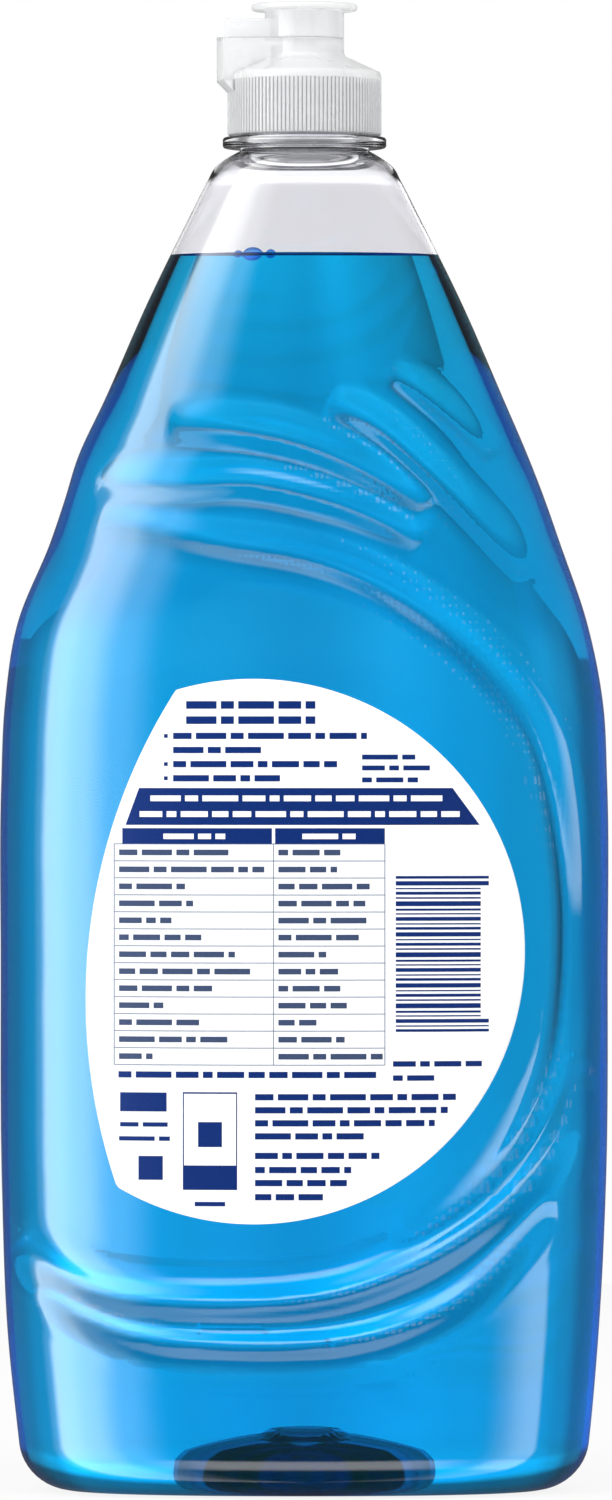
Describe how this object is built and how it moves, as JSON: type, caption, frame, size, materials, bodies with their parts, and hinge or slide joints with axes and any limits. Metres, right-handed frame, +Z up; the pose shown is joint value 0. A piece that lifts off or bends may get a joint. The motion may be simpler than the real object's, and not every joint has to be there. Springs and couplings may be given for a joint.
{
  "type": "dish soap bottle",
  "caption": "Clear oval bottle of blue dish soap with swept grooves, a round film label, a ribbed screw cap and a flip lid on a film hinge.",
  "frame": {"origin": "middle of the base, on the surface that the bottle stands on, on the axis of the neck", "axes": "+Z up along the neck, labelled face towards -Y, lid hinge towards -X"},
  "size_m": [0.1142, 0.0661, 0.2776],
  "materials": {
    "clear_bottle": "clear blown PET, glossy",
    "blue_liquid": "clear blue liquid",
    "label_film": "white printed film, semi-gloss",
    "cap_plastic": "natural translucent polypropylene, moulded"
  },
  "bodies": {
    "bottle": {"bottle": "clear_bottle", "liquid": "blue_liquid", "back_label": "label_film"},
    "cap": {"cap": "cap_plastic"},
    "lid": {"flip_lid": "cap_plastic"}
  },
  "joints": [
    {"name": "cap_turn", "type": "hinge", "parent": "bottle", "child": "cap", "pos_m": [0, 0, 0.2576], "axis": [0, 0, 1], "range_deg": [0, 540]},
    {"name": "lid_hinge", "type": "hinge", "parent": "cap", "child": "lid", "pos_m": [-0.01645, 0, 0.271], "axis": [0, -1, 0], "range_deg": [0, 180]}
  ]
}
